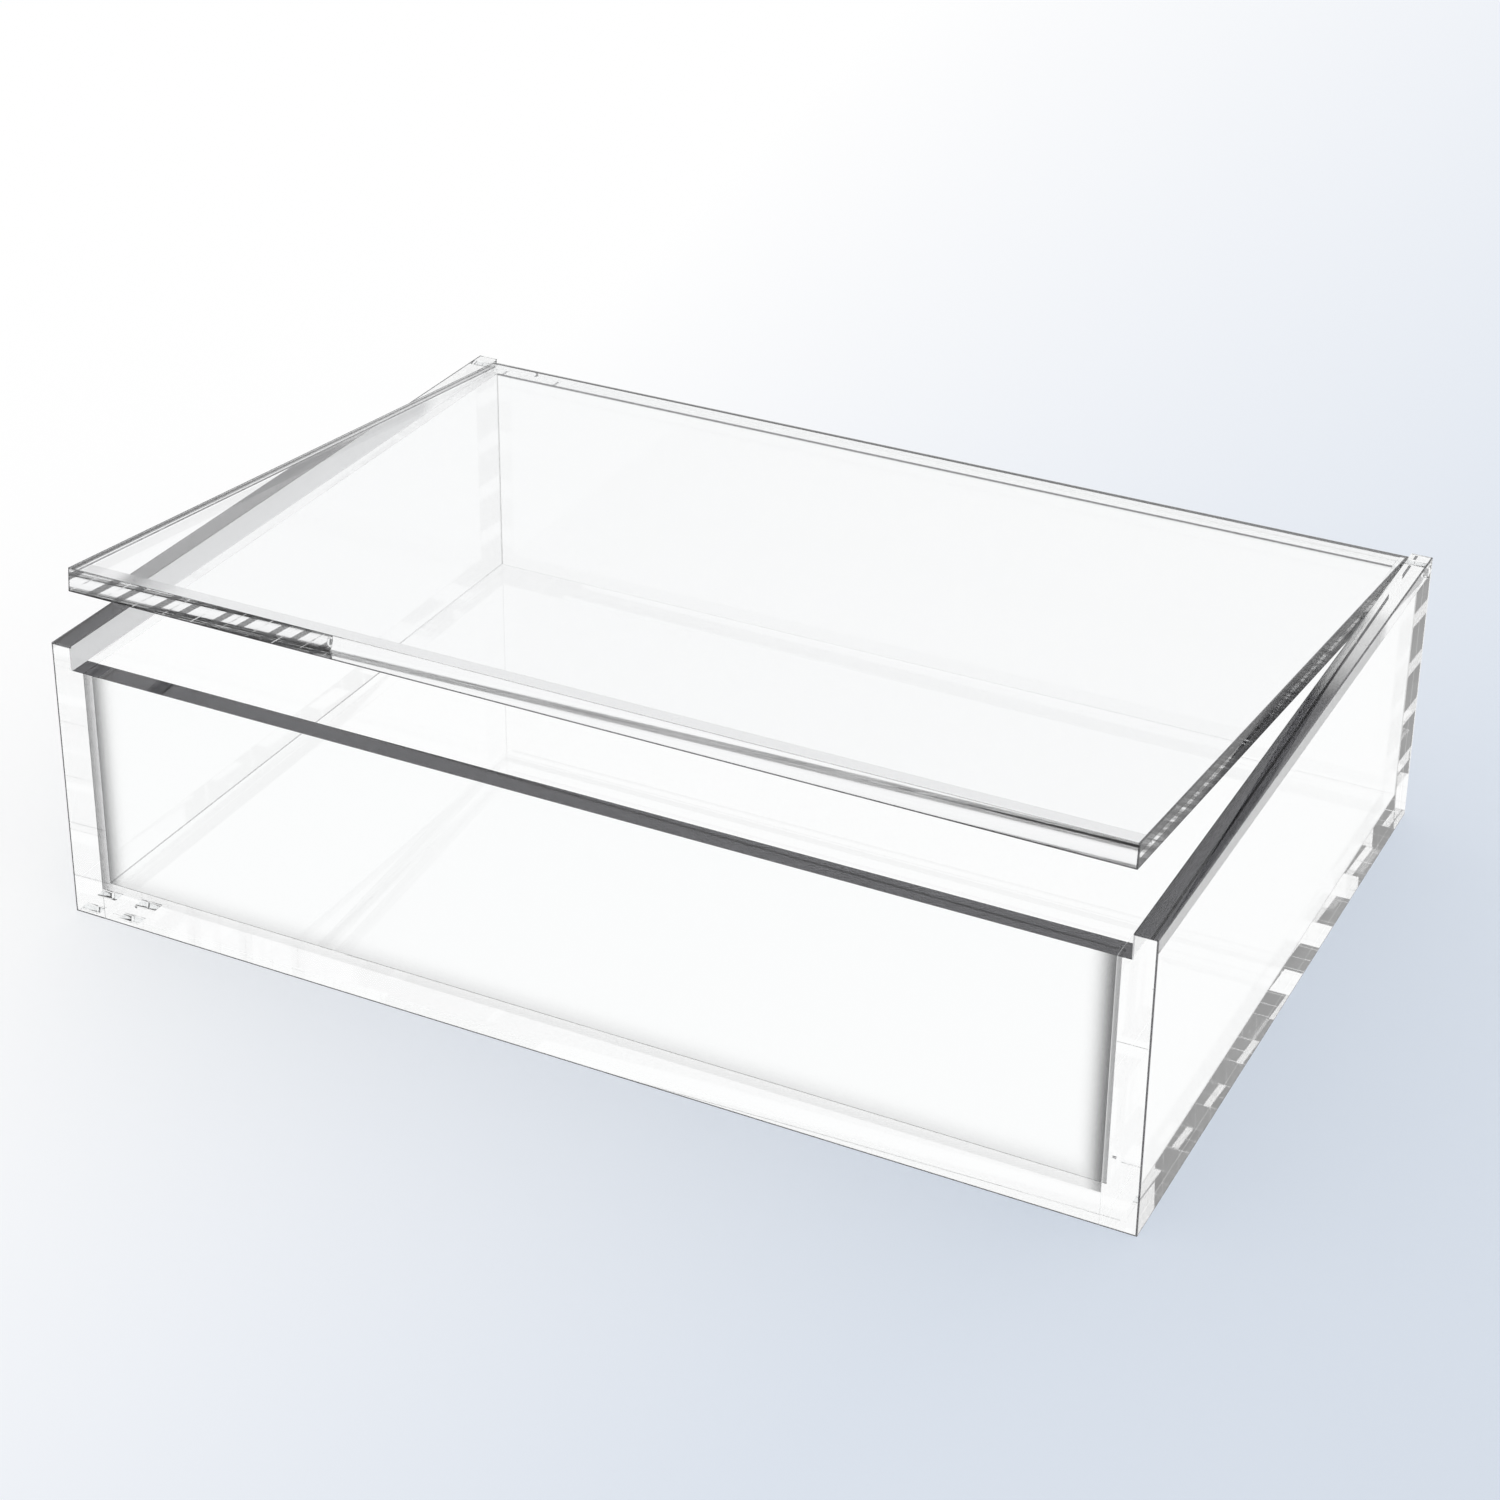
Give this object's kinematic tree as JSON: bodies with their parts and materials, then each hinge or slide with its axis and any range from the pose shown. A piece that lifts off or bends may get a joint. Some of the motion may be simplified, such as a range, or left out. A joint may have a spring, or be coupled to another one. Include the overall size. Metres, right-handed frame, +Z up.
{
  "type": "acrylic storage box with hinged lid",
  "caption": "Low rectangular storage box of clear acrylic sheet, with a flat clear lid that drops onto inner ledges and turns on rods at its rear edge.",
  "frame": {"origin": "middle of the box's underside", "axes": "+X to the right along the width, +Y to the rear, where the hinge is, +Z up"},
  "size_m": [0.305, 0.216, 0.1046],
  "materials": {
    "clear_sheet": "clear cast acrylic sheet, polished faces and polished edges",
    "clear_rod": "clear acrylic rod, polished"
  },
  "bodies": {
    "box": {"floor_panel": "clear_sheet", "front_panel": "clear_sheet", "back_panel": "clear_sheet", "left_side_panel": "clear_sheet", "right_side_panel": "clear_sheet"},
    "lid": {"lid_panel": "clear_sheet", "left_hinge_pin": "clear_rod", "right_hinge_pin": "clear_rod"}
  },
  "joints": [
    {"name": "lid_hinge", "type": "hinge", "parent": "box", "child": "lid", "pos_m": [0, 0.1047, 0.0787], "axis": [-1, 0, 0], "range_deg": [-6.1, 173.9]}
  ]
}
